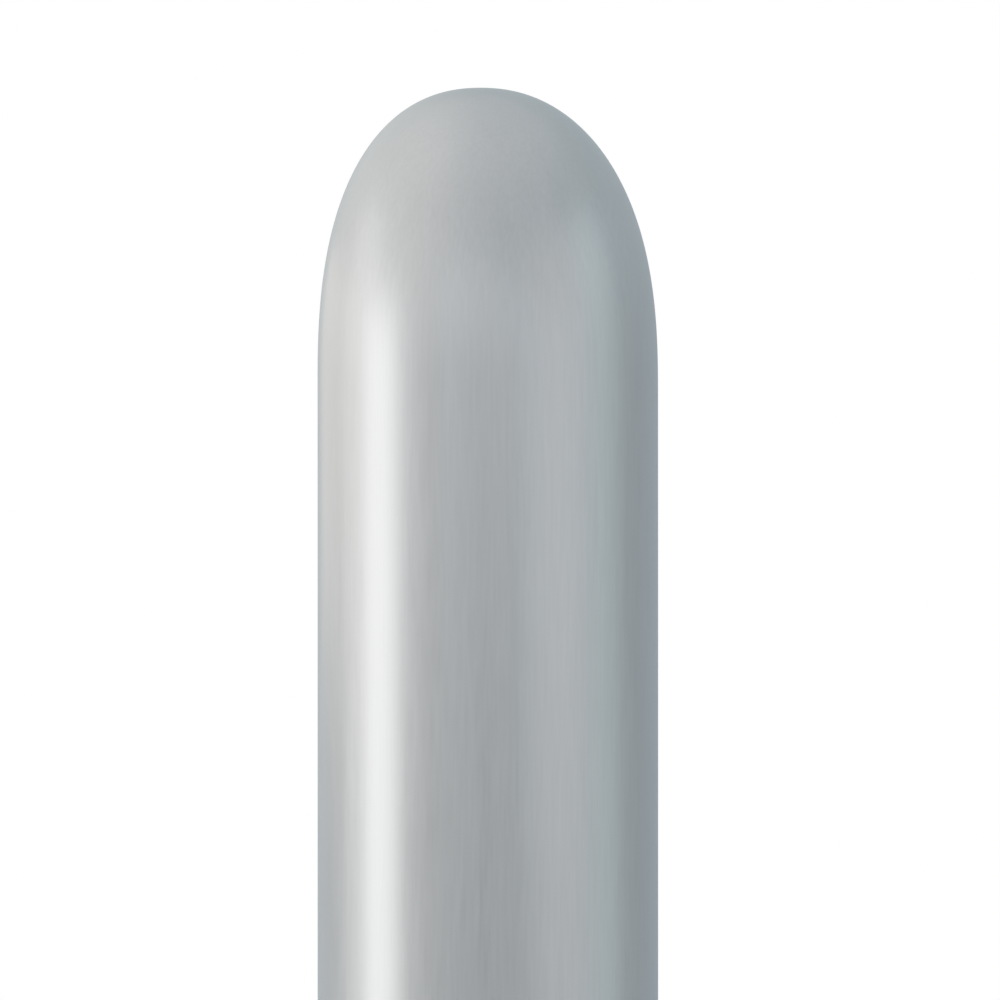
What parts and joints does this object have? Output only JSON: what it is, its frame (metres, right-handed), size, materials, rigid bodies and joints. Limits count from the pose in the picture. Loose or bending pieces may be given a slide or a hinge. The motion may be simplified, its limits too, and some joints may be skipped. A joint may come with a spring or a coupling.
{
  "type": "modelling balloon, blown up and knotted",
  "caption": "Long slim latex balloon, blown up and knotted: straight satin silver-grey tube with a domed closed end, tapering to a neck, a knot and a flat loose nozzle.",
  "frame": {"origin": "centre of the throat, where the neck runs into the knot", "axes": "+Z along the tube towards the domed closed end, +X to the right in the picture, +Y away from the picture's camera"},
  "size_m": [0.0508, 0.0508, 1.5599],
  "materials": {
    "stretched_latex": "satin silver-grey latex, stretched",
    "thick_latex": "darker, duller silver-grey latex, unstretched"
  },
  "bodies": {
    "root": {"envelope": "stretched_latex", "neck": "stretched_latex", "knot": "thick_latex", "nozzle": "thick_latex", "rolled_lip": "thick_latex"}
  },
  "joints": []
}
